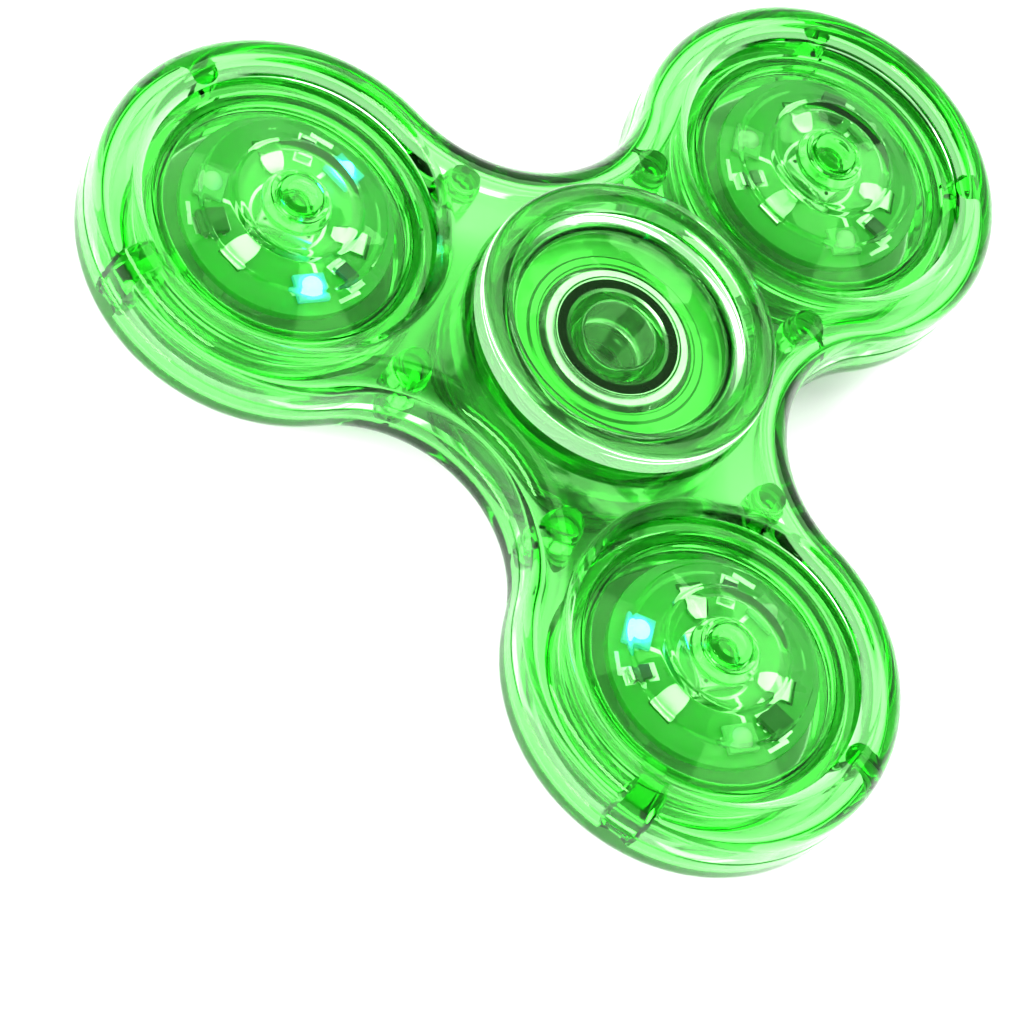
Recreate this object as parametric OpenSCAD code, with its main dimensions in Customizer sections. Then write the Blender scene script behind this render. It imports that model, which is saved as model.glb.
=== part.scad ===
// Three-lobed LED fidget spinner in clear tinted plastic.
// It lies flat: +Z is the spin axis, and the origin is on that axis, at the
// plane of the lower finger cap's rim. Sizes are in millimetres.
// The modules below draw about the body's mid-plane; at_mid() lifts them.

/* [Body] */
// Width of the web between the bearing and a light pod
web_width = 5.4; // [4.4:0.1:12]
// Width of a lobe's rim round its light pod
rim_width = 4.6; // [4.4:0.1:7]
// Radius of the hollow curve between two lobes
waist_radius = 11.7; // [9:0.1:16]
// Thickness of the body over both shells
body_thickness = 9.0; // [8.8:0.1:12]
// Rounding of the body's outer edges
edge_radius = 2.3; // [1:0.1:3.2]
// Thickness of a shell's side wall
side_wall = 1.4; // [1:0.1:1.7]
// Thickness of a shell's flat face
face_wall = 1.2; // [0.8:0.1:1.3]
// Depth of the V line where the two shells meet
seam_depth = 0.15; // [0.05:0.05:0.3]
// Wall round the bearing seat
seat_wall = 1.6; // [1:0.1:2]
// Width of the body's lip that holds the bearing in
lip_width = 1.0; // [0.8:0.05:1.4]
// Depth of the dish round each light pod
moat_depth = 1.7; // [1:0.1:2]
// Distance of the dish's outer edge from the lobe's edge
moat_margin = 2.5; // [2.3:0.1:2.8]

/* [Joining pegs] */
// Radius of the round posts that join the shells
post_radius = 1.5; // [1.2:0.1:1.6]
// Radius of the pin on each lower post
pin_radius = 0.8; // [0.6:0.1:0.9]
// Height of each pin above the seam
pin_height = 2.0; // [1:0.1:2.4]
// Angle of the outer posts from the arm, about the lobe's centre
outer_post_angle = 43; // [30:1:60]
// Angle of the inner posts from the arm, about the spin axis
inner_post_angle = 31; // [28:1:34]

/* [Finger caps] */
// Height of the whole spinner over both finger caps
hub_height = 14.2; // [13.6:0.1:17]
// Width of a finger cap's rim round its recess
cap_rim_width = 2.75; // [2.4:0.05:4]
// Thickness of the wall round the finger recess, where it passes the body's lip
cap_neck_wall = 0.7; // [0.5:0.1:1]
// Thickness of the floor of the finger recess
cap_floor = 1.0; // [0.8:0.1:1.1]
// Bore of a cap's hollow stem
stem_bore_radius = 3.15; // [2.4:0.05:3.3]
// Rounding of a cap's outer edge
cap_round = 0.7; // [0.3:0.1:1]

/* [Bearing] */
// Outer radius of the ball bearing
bearing_radius = 11.0; // [10.6:0.1:13.2]
// Bore radius of the ball bearing
bore_radius = 4.0; // [3.6:0.1:4.4]
// Width of the ball bearing
bearing_width = 7.0; // [6.6:0.1:7.4]
// Radius of each ball
ball_radius = 1.984; // [1.8:0.002:2]
// Number of balls
ball_count = 7; // [6:1:7]
// Thickness of a bearing shield
shield_thickness = 0.3; // [0.2:0.05:0.4]

/* [Light pods] */
// Radius of a light pod's barrel
pod_radius = 11.0; // [10.8:0.1:13.2]
// Thickness of a pod's clear wall
pod_wall = 1.0; // [0.8:0.1:1.1]
// Width of the sloping skirt of a pod
pod_skirt_width = 3.5; // [3:0.1:4]
// Width of the step round a pod's raised centre
pod_step_width = 2.3; // [1.9:0.1:2.6]
// How far a pod's raised centre stands above the body's face
pod_rise = 0.9; // [0.8:0.1:1.6]
// How far a pod's base stays inside the body's lower face
pod_setback = 0.4; // [0.1:0.1:0.5]
// Radius of the push button
button_radius = 1.75; // [1.4:0.05:2]
// How far the button stands above the raised centre
button_proud = 0.65; // [0.55:0.05:1]
// How far the button travels when it is pressed
button_travel = 0.5; // [0.3:0.05:0.55]
// Radius of a coin cell
cell_radius = 6.25; // [5.8:0.05:7.5]
// Thickness of a coin cell
cell_thickness = 2.0; // [1.6:0.1:2]
// Gap between the circuit board and the pod's wall
board_margin = 1.4; // [1:0.1:1.7]
// Thickness of the circuit board
board_thickness = 0.8; // [0.6:0.1:0.8]
// Distance of each LED's middle from the board's edge
led_margin = 2.2; // [2:0.1:2.6]
// Thickness of the battery clip's sheet
clip_sheet = 0.25; // [0.15:0.05:0.3]

/* [Clearances] */
// Clearance of a press or seat fit
seat_gap = 0.01; // [0.01:0.01:0.03]
// Clearance round a part that drops into the shells
drop_gap = 0.1; // [0.05:0.01:0.15]
// Running clearance of the balls in their races
race_gap = 0.04; // [0.02:0.01:0.06]
// Clearance between the spinning body and the finger caps
spin_gap = 0.35; // [0.3:0.05:0.4]
// Sliding clearance round the push button
button_gap = 0.12; // [0.08:0.01:0.2]
// Air gap between parts stacked inside a pod
stack_gap = 0.05; // [0.03:0.01:0.08]

/* [Hidden] */
$fn = 96;
// Overlap that joins two drawn shapes
eps = 0.01;
// How far a cutting shape runs past the surface that it cuts
past = 1;

// Body
lobes = 3;
first_lobe_angle = 90;
lobe_step = 360 / lobes;
half_body = body_thickness / 2;
arm_length = bearing_radius + web_width + pod_radius;
lobe_radius = pod_radius + rim_width;
mid_z = hub_height / 2;
half_step = lobe_step / 2;
// Distance from the spin axis to the centre of each waist curve
waist_centre = arm_length * cos(half_step)
  + sqrt(pow(lobe_radius + waist_radius, 2) - pow(arm_length * sin(half_step), 2));
// Half the angle that a lobe's round edge spans
lobe_span = atan2(waist_centre * sin(half_step), waist_centre * cos(half_step) - arm_length);
waist_span = lobe_span - half_step;
lobe_segments = 32;
waist_segments = 14;
round_steps = 4;
stride = lobe_segments + waist_segments;
core_distance = (waist_centre - waist_radius) * 0.6;
inner_round = max(edge_radius - 0.6 * side_wall, 0.5);
moat_outer = lobe_radius - moat_margin;
pod_hole = pod_radius + drop_gap;
pod_boss_wall = 1.2;
seat_radius = bearing_radius + seat_gap;
lip_radius = bearing_radius - lip_width;
pod_boss_rise = 0.1;
post_margin = 0.85;
inner_post_inset = 0.35;
outer_post_ring = lobe_radius - side_wall - post_margin;
inner_post_ring = waist_centre - waist_radius + post_radius + inner_post_inset;
post_top = half_body - 0.7 * face_wall;
socket_depth = pin_height + 0.3;
// The dish round a pod, from its floor up its slope to its edge
moat_floor = 0.2;
moat_foot = [0.9, 0.55];
moat_foot_start = 0.3;
moat_brow = [0.6, 0.3];
flange_height = 0.5;
flange_width = 0.6;
flange_radius = pod_radius + flange_width;

// Finger caps
recess_radius = lip_radius - spin_gap;
cap_radius = recess_radius + cap_rim_width;
cap_rim_z = mid_z;
cap_under_z = half_body + spin_gap;
shoulder_width = 1.25;
shoulder_radius = bore_radius + shoulder_width;
shoulder_z = bearing_width / 2;
cap_floor_under = shoulder_z + spin_gap;
cap_floor_top = cap_floor_under + cap_floor;
stem_radius = bore_radius - seat_gap;
stem_end_z = 0.1;
stem_roof = 0.7;
// How the wall of the finger recess opens out at the rim
cap_flare_width = 0.65;
cap_flare_height = 0.6;

// Bearing
half_bearing = bearing_width / 2;
pitch_radius = (bearing_radius + bore_radius) / 2;
race_radius = ball_radius + race_gap;
// Heights of the two races' shoulders, as shares of the ball's radius
inner_shoulder = 0.73;
outer_shoulder = 0.66;
inner_land = pitch_radius - inner_shoulder * ball_radius;
outer_land = pitch_radius + outer_shoulder * ball_radius;
shield_seat_width = 0.7;
shield_seat_radius = outer_land + shield_seat_width;
shield_inset = 0.35;
shield_z = half_bearing - shield_inset - shield_thickness;
shield_inner = inner_land + spin_gap;
shield_bead_setback = 0.3;
shield_bead = [0.5, 0.15];
cage_half_wall = 0.8;
cage_inner = pitch_radius - cage_half_wall;
cage_outer = pitch_radius + cage_half_wall;
cage_low = -0.8;
cage_crown = 0.5;
cage_top = ball_radius + cage_crown;

// Light pods
barrel_top = half_body - moat_depth - moat_floor;
skirt_height = 1.75;
ring_z = barrel_top + skirt_height;
crown_z = half_body + pod_rise;
pod_depth = half_body - pod_setback;
pod_ring_radius = pod_radius - pod_skirt_width;
pod_crown_radius = pod_ring_radius - pod_step_width;
board_radius = pod_radius - pod_wall - board_margin;
led_distance = board_radius - led_margin;
// Small steps of the lens outside: [width, height] at the skirt's top and at the crown
skirt_lip = [0.2, 0.4];
crown_foot = [0.3, 0.5];
crown_bevel = [0.2, 0.1];
// How far the lens inside lies within the outside, at the barrel, the ring and the crown
inside_barrel_drop = 0.4;
inside_ring = [0.4, 1];
inside_crown = [0.8, 0.9];
crown_under = crown_z - inside_crown[1];
collar_width = 0.5;
collar_height = 0.2;
button_hole = button_radius + button_gap;
button_top = crown_z + button_proud;
button_flange_width = 1.1;
button_flange_height = 0.6;
button_flange_radius = button_radius + button_flange_width;
button_flange_top = crown_under - stack_gap;
button_flange_low = button_flange_top - button_flange_height;
button_bevel = 0.35;
plunger_radius = 1.0;
switch_size = 4.6;
floor_inside = -(pod_depth - pod_wall);
clip_low = floor_inside + stack_gap;
cell_low = clip_low + clip_sheet + stack_gap;
board_low = cell_low + 2 * cell_thickness + 2 * stack_gap;
board_top = board_low + board_thickness;
switch_clearance = 0.15;
switch_well_floor = 0.15;
switch_top = button_flange_low - button_travel - switch_clearance;
plunger_reach = 0.2;
plunger_low = switch_top - plunger_reach;
clip_arm_width = 2.0;
clip_arm_gap = 0.2;
clip_plate_radius = 3;
clip_arm_r = cell_radius + clip_arm_gap;
clip_arm_out = clip_arm_r + clip_sheet;
clip_top = board_top + stack_gap;
clip_tip = 3.6;
// The base inside: a flat floor that takes the clip, then a slope up to the barrel
floor_margin = 0.3;
floor_edge_radius = clip_arm_out + floor_margin;
inside_slope_rise = 0.3;
led_base = [2.2, 2.6, 0.5];
led_dome = 0.8;
led_dome_sink = 0.2;
chip_angle = 31;
chip_size = [2.2, 2, 0.7];
resistor_size = [2, 1.2, 0.5];

// ---- placing ----
module at_mid() translate([0, 0, mid_z]) children();
module at_lobe(i) rotate([0, 0, first_lobe_angle + i * lobe_step])
  translate([arm_length, 0, 0]) children();
module each_lobe() for (i = [0:lobes - 1]) at_lobe(i) children();
module at_pod(k) at_mid() at_lobe(k - 1) children();

// ---- body outline ----
// Points of the three-lobed outline, moved inwards by d
function lobe_point(i, a, d) =
  let (t = first_lobe_angle + i * lobe_step)
  [arm_length * cos(t) + (lobe_radius - d) * cos(t + a),
   arm_length * sin(t) + (lobe_radius - d) * sin(t + a)];
function waist_point(i, a, d) =
  let (t = first_lobe_angle + i * lobe_step + half_step)
  [waist_centre * cos(t) + (waist_radius + d) * cos(t + 180 - a),
   waist_centre * sin(t) + (waist_radius + d) * sin(t + 180 - a)];
function outline(d) = [
  for (i = [0:lobes - 1]) each concat(
    [for (j = [0:lobe_segments]) lobe_point(i, lobe_span * (2 * j / lobe_segments - 1), d)],
    [for (j = [1:waist_segments - 1]) waist_point(i, waist_span * (2 * j / waist_segments - 1), d)]
  )
];

// Heights and insets of a rounded top edge: [[z, inset], ...]
function round_rings(d, top, r) = [
  for (k = [0:round_steps]) let (a = 90 * k / round_steps)
  [top - r + r * sin(a), d + r * (1 - cos(a))]
];

// Triangles that fill one outline, anticlockwise from above. first is the index of
// its first point, and core that of three more points, one on each arm.
function lobe_strip(b) = [
  for (j = [0:lobe_segments / 2 - 1]) each concat(
    [[b + j, b + j + 1, b + lobe_segments - j]],
    2 * j + 2 == lobe_segments ? [] : [[b + j + 1, b + lobe_segments - j - 1, b + lobe_segments - j]]
  )
];
function waist_fan(b, next, here, there) = [
  for (m = [0:waist_segments - 1])
  [m < waist_segments / 2 ? here : there, b + m, m == waist_segments - 1 ? next : b + m + 1]
];
function outline_cap(first, core) = concat(
  [[core, core + 1, core + 2]],
  [for (i = [0:lobes - 1])
    let (b = first + i * stride, next = first + (i + 1) % lobes * stride, here = core + i,
         there = core + (i + 1) % lobes)
    each concat(
      lobe_strip(b),
      [[here, b, b + lobe_segments], [here, b + lobe_segments + waist_segments / 2, there]],
      waist_fan(b + lobe_segments, next, here, there)
    )]
);
function core_points(z) = [
  for (i = [0:lobes - 1]) let (t = first_lobe_angle + i * lobe_step)
  [core_distance * cos(t), core_distance * sin(t), z]
];
function reversed(faces) = [for (f = faces) [f[2], f[1], f[0]]];

// A closed solid through a stack of outlines, one for each [z, inset]
module lofted_outline(rings) {
  count = lobes * stride;
  last = len(rings) - 1;
  sides = [
    for (k = [0:last - 1], j = [0:count - 1])
    let (a = k * count + j, b = k * count + (j + 1) % count)
    each [[a, a + count, b], [b, a + count, b + count]]
  ];
  skin = [for (ring = rings) each [for (p = outline(ring[1])) [p[0], p[1], ring[0]]]];
  low_core = len(skin);
  polyhedron(
    points = concat(skin, core_points(rings[0][0]), core_points(rings[last][0])),
    faces = concat(sides, outline_cap(0, low_core), reversed(outline_cap(last * count, low_core + lobes))),
    convexity = 8
  );
}

// ---- shells ----
module shell_outside() {
  lofted_outline(concat([[0, seam_depth], [seam_depth, 0]], round_rings(0, half_body, edge_radius)));
}
module shell_cavity() {
  lofted_outline(concat([[-past, side_wall]], round_rings(side_wall, half_body - face_wall, inner_round)));
}
module posts(radius, low, high) {
  for (i = [0:lobes - 1], side = [-1, 1]) {
    at_lobe(i) rotate([0, 0, side * outer_post_angle])
      translate([outer_post_ring, 0, low]) cylinder(r = radius, h = high - low, $fn = 32);
    rotate([0, 0, first_lobe_angle + i * lobe_step + side * inner_post_angle])
      translate([inner_post_ring, 0, low]) cylinder(r = radius, h = high - low, $fn = 32);
  }
}
module pod_boss() cylinder(r = pod_hole + pod_boss_wall, h = barrel_top + pod_boss_rise);
module moat() {
  rotate_extrude() polygon([
    [0, barrel_top + moat_floor],
    [pod_hole + moat_foot_start, barrel_top + moat_floor],
    [pod_hole + moat_foot[0], barrel_top + moat_foot[1]],
    [moat_outer - moat_brow[0], half_body - moat_brow[1]],
    [moat_outer, half_body + eps],
    [moat_outer, half_body + past],
    [0, half_body + past]
  ]);
}
// A round hole from below the seam up to a height
module through_hole(radius, top) translate([0, 0, -past]) cylinder(r = radius, h = past + top);
module upper_half() {
  difference() {
    union() {
      difference() {
        shell_outside();
        shell_cavity();
      }
      cylinder(r = seat_radius + seat_wall, h = post_top);
      each_lobe() pod_boss();
      posts(post_radius, 0, post_top);
    }
    through_hole(seat_radius, half_bearing);
    through_hole(lip_radius, half_body + past);
    each_lobe() through_hole(pod_hole, half_body + past);
    each_lobe() through_hole(flange_radius + drop_gap, flange_height + drop_gap);
    each_lobe() moat();
  }
}
module top_shell() color("palegreen") at_mid() difference() {
  upper_half();
  posts(pin_radius + drop_gap, -past, socket_depth);
}
module bottom_shell() color("lightgreen") at_mid() union() {
  mirror([0, 0, 1]) upper_half();
  posts(pin_radius, -post_top, pin_height);
}

// ---- finger caps ----
module cap_body() {
  rim_low = cap_under_z;
  rim_height = cap_rim_z - rim_low;
  floor_edge = recess_radius - cap_neck_wall;
  flare_foot = 0.1;
  rotate_extrude() difference() {
    union() {
      translate([0, stem_end_z]) square([stem_radius, cap_floor_under]);
      translate([0, shoulder_z]) square([shoulder_radius, cap_floor]);
      translate([0, cap_floor_under]) square([recess_radius, cap_floor]);
      translate([floor_edge, cap_floor_under]) square([cap_neck_wall, rim_low + eps - cap_floor_under]);
      translate([floor_edge, rim_low]) square([cap_radius - cap_round - floor_edge, rim_height]);
      translate([cap_radius - cap_round - eps, rim_low])
        square([cap_round + eps, rim_height - cap_round]);
      translate([cap_radius - cap_round, cap_rim_z - cap_round]) circle(r = cap_round, $fn = 48);
    }
    square([stem_bore_radius, cap_floor_top - stem_roof]);
    translate([0, cap_floor_top]) square([floor_edge, cap_rim_z]);
    polygon([
      [floor_edge - eps, cap_floor_top],
      [floor_edge, cap_floor_top],
      [recess_radius + flare_foot, cap_rim_z - cap_flare_height],
      [recess_radius + cap_flare_width, cap_rim_z + eps],
      [recess_radius + cap_flare_width, cap_rim_z + past],
      [floor_edge - eps, cap_rim_z + past]
    ]);
  }
}
module finger_cap_top() color("mediumseagreen") at_mid() cap_body();
module finger_cap_bottom() color("seagreen") at_mid() mirror([0, 0, 1]) cap_body();

// ---- bearing ----
module bearing_outer_ring() color("silver") at_mid() rotate_extrude() difference() {
  translate([outer_land, -half_bearing]) square([bearing_radius - outer_land, bearing_width]);
  translate([pitch_radius, 0]) circle(r = race_radius, $fn = 64);
  for (side = [-1, 1])
    translate([outer_land - past, side > 0 ? shield_z : -half_bearing - past])
      square([shield_seat_radius - outer_land + past, half_bearing - shield_z + past]);
}
module bearing_inner_ring() color("silver") at_mid() rotate_extrude() difference() {
  translate([bore_radius, -half_bearing]) square([inner_land - bore_radius, bearing_width]);
  translate([pitch_radius, 0]) circle(r = race_radius, $fn = 64);
}
module at_balls() for (k = [0:ball_count - 1])
  rotate([0, 0, k * 360 / ball_count]) translate([pitch_radius, 0, 0]) children();
module bearing_balls() color("gainsboro") at_mid() at_balls() sphere(r = ball_radius, $fn = 48);
module bearing_cage() color("white") at_mid() difference() {
  translate([0, 0, cage_low]) cylinder(r = cage_outer, h = cage_top - cage_low);
  translate([0, 0, cage_low - past]) cylinder(r = cage_inner, h = cage_top - cage_low + 2 * past);
  at_balls() sphere(r = race_radius, $fn = 48);
}
module shield() rotate_extrude() {
  translate([shield_inner, shield_z])
    square([shield_seat_radius - seat_gap - shield_inner, shield_thickness]);
  translate([shield_inner + shield_bead_setback, shield_z])
    square([shield_bead[0], shield_thickness + shield_bead[1]]);
}
module bearing_shield_top() color("lightgray") at_mid() shield();
module bearing_shield_bottom() color("lightgray") at_mid() mirror([0, 0, 1]) shield();

// ---- light pods ----
module lens() rotate_extrude() difference() {
  union() {
    polygon([
      [0, flange_height],
      [pod_radius, flange_height],
      [pod_radius, barrel_top],
      [pod_ring_radius + skirt_lip[0], ring_z - skirt_lip[1]],
      [pod_ring_radius, ring_z],
      [pod_crown_radius + crown_foot[0], crown_z - crown_foot[1]],
      [pod_crown_radius, crown_z - crown_bevel[1]],
      [pod_crown_radius - crown_bevel[0], crown_z],
      [0, crown_z]
    ]);
    translate([0, crown_z - eps]) square([button_hole + collar_width, collar_height + eps]);
  }
  polygon([
    [0, flange_height - past],
    [pod_radius - pod_wall, flange_height - past],
    [pod_radius - pod_wall, barrel_top - inside_barrel_drop],
    [pod_ring_radius - inside_ring[0], ring_z - inside_ring[1]],
    [pod_crown_radius - inside_crown[0], crown_under],
    [0, crown_under]
  ]);
  square([button_hole, crown_z + past]);
}
module base() rotate_extrude() difference() {
  union() {
    polygon([
      [0, -pod_depth],
      [pod_ring_radius, -pod_depth],
      [pod_radius, -barrel_top],
      [pod_radius, flange_height],
      [0, flange_height]
    ]);
    translate([0, -flange_height]) square([flange_radius, 2 * flange_height]);
  }
  polygon([
    [0, floor_inside],
    [floor_edge_radius, floor_inside],
    [pod_radius - pod_wall, -barrel_top + inside_slope_rise],
    [pod_radius - pod_wall, flange_height + past],
    [0, flange_height + past]
  ]);
}
module button() rotate_extrude() {
  shoulder = button_top - button_bevel;
  translate([0, plunger_low]) square([plunger_radius, button_flange_low - plunger_low + eps]);
  translate([0, button_flange_low]) square([button_flange_radius, button_flange_top - button_flange_low]);
  polygon([
    [0, button_flange_low],
    [button_radius, button_flange_low],
    [button_radius, shoulder],
    [button_radius - button_bevel, button_top],
    [0, button_top]
  ]);
}
module switch_body() difference() {
  translate([-switch_size / 2, -switch_size / 2, board_top])
    cube([switch_size, switch_size, switch_top - board_top]);
  translate([0, 0, board_top + switch_well_floor])
    cylinder(r = plunger_radius + button_gap, h = switch_top, $fn = 48);
}
module each_clip_arm() for (k = [0:2]) rotate([0, 0, 60 + 120 * k]) children();
module clip_slots() each_clip_arm()
  translate([clip_arm_r - drop_gap, -clip_arm_width / 2 - drop_gap, board_low - past])
    cube([clip_sheet + 2 * drop_gap, clip_arm_width + 2 * drop_gap, board_thickness + 2 * past]);
module board() difference() {
  translate([0, 0, board_low]) cylinder(r = board_radius, h = board_thickness);
  clip_slots();
}
module leds() for (k = [0:2]) rotate([0, 0, 120 * k]) translate([led_distance, 0, board_top]) {
  translate([-led_base[0] / 2, -led_base[1] / 2, 0]) cube(led_base);
  intersection() {
    translate([0, 0, led_base[2]]) sphere(r = led_dome, $fn = 32);
    translate([-led_dome, -led_dome, led_base[2] - led_dome_sink])
      cube([2 * led_dome, 2 * led_dome, led_dome + led_dome_sink]);
  }
}
module cells() for (k = [0:1])
  translate([0, 0, cell_low + k * (cell_thickness + stack_gap)])
    cylinder(r = cell_radius, h = cell_thickness);
module clip() {
  translate([0, 0, clip_low]) cylinder(r = clip_plate_radius, h = clip_sheet);
  each_clip_arm() translate([0, -clip_arm_width / 2, 0]) {
    translate([0, 0, clip_low]) cube([clip_arm_out, clip_arm_width, clip_sheet]);
    translate([clip_arm_r, 0, clip_low])
      cube([clip_sheet, clip_arm_width, clip_top + clip_sheet - clip_low]);
    translate([clip_tip, 0, clip_top]) cube([clip_arm_out - clip_tip, clip_arm_width, clip_sheet]);
  }
}
module chip() rotate([0, 0, chip_angle])
  translate([led_distance - chip_size[0] / 2, -chip_size[1] / 2, board_top]) cube(chip_size);
module resistors() for (k = [1:2]) rotate([0, 0, chip_angle + 120 * k])
  translate([led_distance - resistor_size[0] / 2, -resistor_size[1] / 2, board_top]) cube(resistor_size);

module pod_lens(k) color("honeydew") at_pod(k) lens();
module pod_base(k) color("palegreen") at_pod(k) base();
module pod_button(k) color("limegreen") at_pod(k) button();
module pod_switch(k) color("dimgray") at_pod(k) switch_body();
module pod_board(k) color("green") at_pod(k) board();
module pod_leds(k) color("aquamarine") at_pod(k) leds();
module pod_cells(k) color("lightgray") at_pod(k) cells();
module pod_clip(k) color("silver") at_pod(k) clip();
module pod_chip(k) color("black") at_pod(k) chip();
module pod_resistors(k) color("darkslategray") at_pod(k) resistors();

top_shell();
bottom_shell();
finger_cap_top();
finger_cap_bottom();
bearing_outer_ring();
bearing_inner_ring();
bearing_balls();
bearing_cage();
bearing_shield_top();
bearing_shield_bottom();
pod_lens(1);  // pod_lens_1
pod_lens(2);  // pod_lens_2
pod_lens(3);  // pod_lens_3
pod_base(1);  // pod_base_1
pod_base(2);  // pod_base_2
pod_base(3);  // pod_base_3
pod_button(1);  // pod_button_1
pod_button(2);  // pod_button_2
pod_button(3);  // pod_button_3
pod_switch(1);  // pod_switch_1
pod_switch(2);  // pod_switch_2
pod_switch(3);  // pod_switch_3
pod_board(1);  // pod_board_1
pod_board(2);  // pod_board_2
pod_board(3);  // pod_board_3
pod_leds(1);  // pod_leds_1
pod_leds(2);  // pod_leds_2
pod_leds(3);  // pod_leds_3
pod_cells(1);  // pod_cells_1
pod_cells(2);  // pod_cells_2
pod_cells(3);  // pod_cells_3
pod_clip(1);  // pod_clip_1
pod_clip(2);  // pod_clip_2
pod_clip(3);  // pod_clip_3
pod_chip(1);  // pod_chip_1
pod_chip(2);  // pod_chip_2
pod_chip(3);  // pod_chip_3
pod_resistors(1);  // pod_resistors_1
pod_resistors(2);  // pod_resistors_2
pod_resistors(3);  // pod_resistors_3
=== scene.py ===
"""Looks of a clear green LED fidget spinner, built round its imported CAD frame.

The clear parts are rebuilt as smooth lathed and lofted meshes in the space of their CAD nodes,
and the parts inside the pods and the bearing get finer meshes and materials of their own.
Sizes are in millimetres until mesh_piece() turns them into metres.
"""
import math
import bmesh
import bpy
from mathutils import Matrix, Vector


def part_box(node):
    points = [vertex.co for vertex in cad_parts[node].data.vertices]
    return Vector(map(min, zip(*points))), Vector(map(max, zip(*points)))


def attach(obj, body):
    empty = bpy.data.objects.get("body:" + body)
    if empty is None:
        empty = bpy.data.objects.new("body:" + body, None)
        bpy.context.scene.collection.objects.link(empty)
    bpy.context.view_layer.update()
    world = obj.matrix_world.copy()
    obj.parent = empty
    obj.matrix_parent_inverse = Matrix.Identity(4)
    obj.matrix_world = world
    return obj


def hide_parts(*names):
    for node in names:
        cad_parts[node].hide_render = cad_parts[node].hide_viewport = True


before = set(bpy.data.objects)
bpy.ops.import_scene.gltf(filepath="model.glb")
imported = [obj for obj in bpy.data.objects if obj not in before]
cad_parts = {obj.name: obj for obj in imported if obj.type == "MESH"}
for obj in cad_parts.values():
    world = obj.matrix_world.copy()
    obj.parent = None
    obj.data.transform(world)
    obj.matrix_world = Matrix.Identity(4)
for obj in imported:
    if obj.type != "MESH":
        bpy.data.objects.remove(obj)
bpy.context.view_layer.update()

MM = 0.001
TAU = 2 * math.pi
ON_AXIS = 1e-6
STRAIGHT = 3.0
CORNER_SHARE = 0.45
POD_NUMBERS = (1, 2, 3)


# ---------------------------------------------------------------- sizes from the frame

def span(node):
    """Lowest and highest corner of a CAD node, in millimetres."""
    low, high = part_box(node)
    return low / MM, high / MM


def centre_of(node):
    low, high = span(node)
    return (low + high) / 2


def half_width(node):
    low, high = span(node)
    return (high.x - low.x) / 2


shell_low, shell_high = span("top_shell")
CAP_HIGH = span("finger_cap_top")[1]
MID = shell_low.z
HALF_BODY = shell_high.z - MID
CAP_RADIUS = half_width("finger_cap_top")
CAP_TOP = CAP_HIGH.z - MID
POD_CENTRES = {k: centre_of(f"pod_lens_{k}").xy for k in POD_NUMBERS}
POD_ANGLES = {k: math.atan2(c.y, c.x) for k, c in POD_CENTRES.items()}
ARM = POD_CENTRES[1].length
POD_RADIUS = half_width("pod_lens_1")
LOBE_RADIUS = shell_high.y - POD_CENTRES[1].y
BEARING_RADIUS = half_width("bearing_outer_ring")
HALF_BEARING = (span("bearing_outer_ring")[1].z - span("bearing_outer_ring")[0].z) / 2

WAIST_RADIUS = 11.7
EDGE_RADIUS = 2.3
SIDE_WALL = 1.4
FACE_WALL = 1.2
SEAM_DEPTH = 0.15
HALF_STEP = math.pi / 3


# ---------------------------------------------------------------- mesh helpers

def mesh_piece(name, mesh, material, body, replaces=(), at=None):
    """Turns a bmesh in millimetres into a piece that rides on a body."""
    data = bpy.data.meshes.new(name)
    bmesh.ops.scale(mesh, vec=(MM, MM, MM), verts=mesh.verts)
    if at is not None:
        mesh.transform(at)
    mesh.to_mesh(data)
    mesh.free()
    piece = bpy.data.objects.new(name, data)
    bpy.context.scene.collection.objects.link(piece)
    shade(piece)
    data.materials.append(material)
    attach(piece, body)
    if replaces:
        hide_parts(*replaces)
    return piece


def shade(piece, angle=0.6):
    """Smooth shading that stays sharp over edges steeper than angle, in radians."""
    data = piece.data
    data.polygons.foreach_set("use_smooth", [True] * len(data.polygons))
    data.set_sharp_from_angle(angle=angle)


def outward(mesh):
    """Turns a closed bmesh's faces to point out."""
    if mesh.calc_volume(signed=True) < 0:
        bmesh.ops.reverse_faces(mesh, faces=mesh.faces[:])
    return mesh


def rounded(points, radius, steps=5, keep=(), special=None):
    """A profile with its corners rounded. Corners in keep, on the axis or nearly straight stay as they are.

    special gives a corner, by its place in the profile, a radius of its own.
    """
    special = special or {}
    out = []
    count = len(points)
    for i, point in enumerate(points):
        here = Vector(point)
        before = Vector(points[i - 1]) - here
        after = Vector(points[(i + 1) % count]) - here
        bend = before.angle(after, math.pi)
        if i in keep or bend > STRAIGHT or here.x < ON_AXIS:
            out.append(here)
            continue
        wanted = special.get(i, radius) / math.tan(bend / 2)
        reach = min(wanted, before.length * CORNER_SHARE, after.length * CORNER_SHARE)
        start = here + before.normalized() * reach
        end = here + after.normalized() * reach
        for s in range(steps + 1):
            t = s / steps
            out.append(start * (1 - t) ** 2 + here * 2 * t * (1 - t) + end * t ** 2)
    return out


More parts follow.
